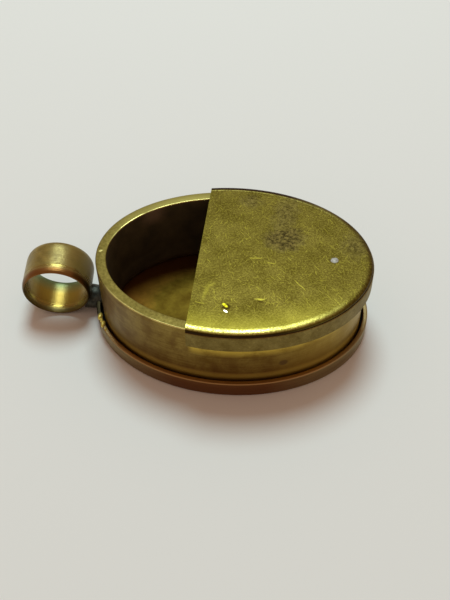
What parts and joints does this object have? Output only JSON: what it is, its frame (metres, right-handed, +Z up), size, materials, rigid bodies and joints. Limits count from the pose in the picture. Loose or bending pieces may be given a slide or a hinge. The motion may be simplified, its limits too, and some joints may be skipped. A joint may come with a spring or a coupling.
{
  "type": "oval locket with half cover",
  "caption": "Oval brass locket: a thick side band in a shallow base tray, a lift-off half cover with a skirt, and a tube bail soldered to one end.",
  "frame": {"origin": "centre of the oval on the underside of the base tray", "axes": "+X along the oval's long axis away from the bail, +Y to the back, +Z up through the open top"},
  "size_m": [0.0401, 0.0236, 0.01],
  "materials": {
    "tray_brass": "tarnished copper-brown brass, rubbed along the rim's edges",
    "band_brass": "aged brass, brown outside and nearly black inside, filed bright on the top face",
    "bail_brass": "polished brass tube gone red-brown at the lips",
    "cover_brass": "satin olive-yellow brass with fine scratches and dark stains",
    "skirt_brass": "dull grey-brown brass",
    "bright_filler": "bright yellow brazing filler",
    "dark_solder": "dark grey-green oxidised solder",
    "grey_solder": "dull grey solder splash"
  },
  "bodies": {
    "case": {"base_tray": "tray_brass", "side_band": "band_brass", "tray_solder": "dark_solder", "bail_ring": "bail_brass", "bail_neck": "dark_solder", "rim_filler": "bright_filler"},
    "cover": {"cover_plate": "cover_brass", "cover_skirt": "skirt_brass", "cover_solder": "dark_solder", "solder_spot": "grey_solder"}
  },
  "joints": [
    {"name": "cover_lift", "type": "slide", "parent": "case", "child": "cover", "axis": [0, 0, 1], "range_m": [0, 0.012]}
  ]
}
